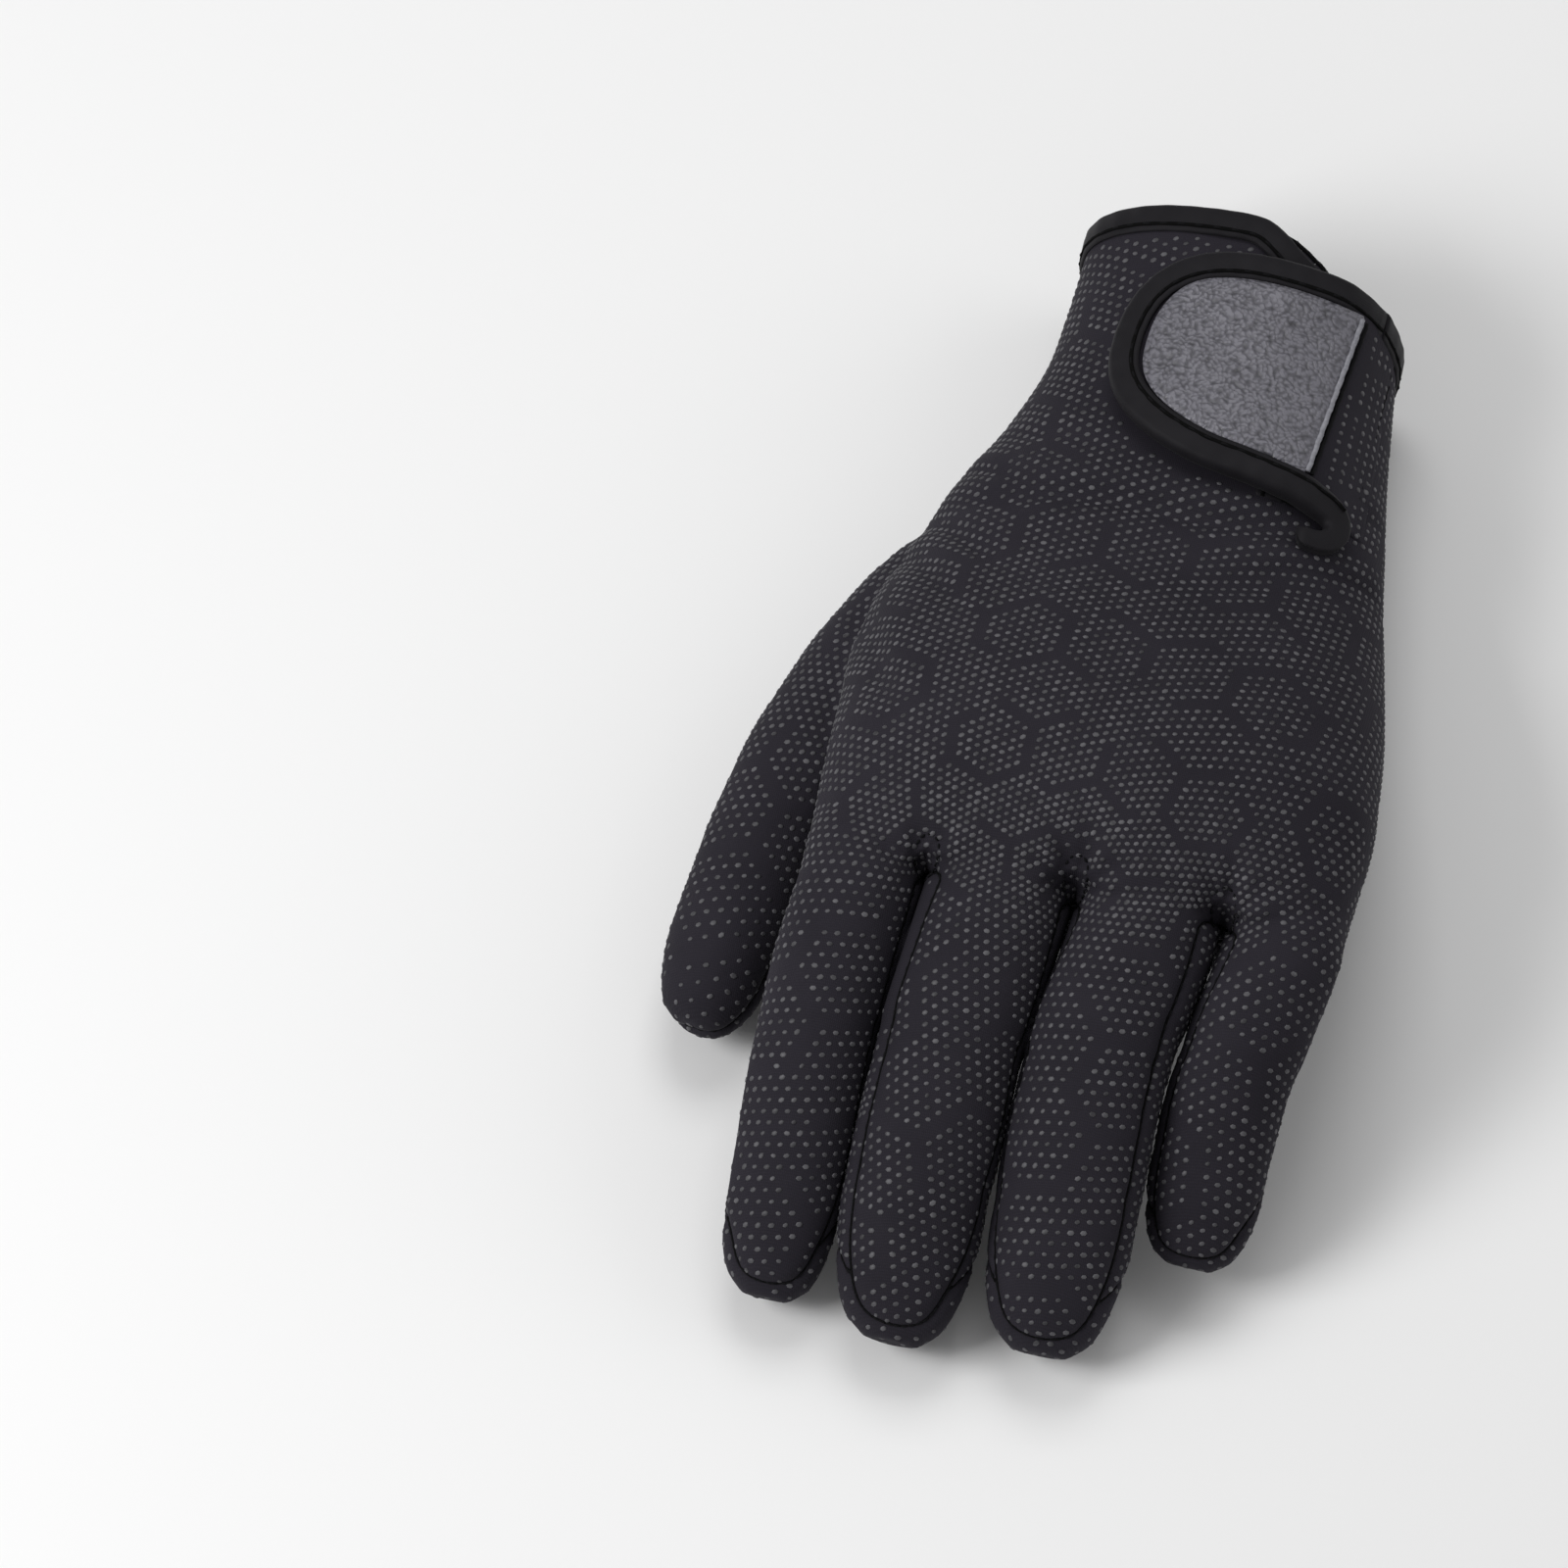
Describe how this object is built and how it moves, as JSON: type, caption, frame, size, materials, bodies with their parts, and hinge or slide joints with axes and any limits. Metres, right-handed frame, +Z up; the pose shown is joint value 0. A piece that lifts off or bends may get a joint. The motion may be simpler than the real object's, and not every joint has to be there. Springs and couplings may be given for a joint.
{
  "type": "diving glove",
  "caption": "Thin black neoprene diving glove for a left hand, lying palm down, hollow, with bound cuff and a wrist tab with a grey patch.",
  "frame": {"origin": "middle of the glove's box at the surface it lies on", "axes": "+Y from the fingertips to the cuff, +X to the little finger's side, +Z up through the back of the hand"},
  "size_m": [0.124, 0.2298, 0.0599],
  "materials": {
    "neoprene": "matt knit over thin foam rubber, printed with fine raised grip dots in honeycomb cells",
    "binding_tape": "smooth black stretch tape, folded and stitched",
    "patch_leather": "pebbled grey, soft gloss, with one pale raw edge",
    "hook_and_loop": "matt black hook and loop fastener"
  },
  "bodies": {
    "root": {"back_panel": "neoprene", "palm_panel": "neoprene", "thumb_panel": "neoprene", "fourchette_index_middle": "neoprene", "fourchette_middle_ring": "neoprene", "fourchette_ring_little": "neoprene", "cuff_binding": "binding_tape", "tab_binding": "binding_tape", "tab_patch": "patch_leather", "hook_pad": "hook_and_loop"}
  },
  "joints": []
}
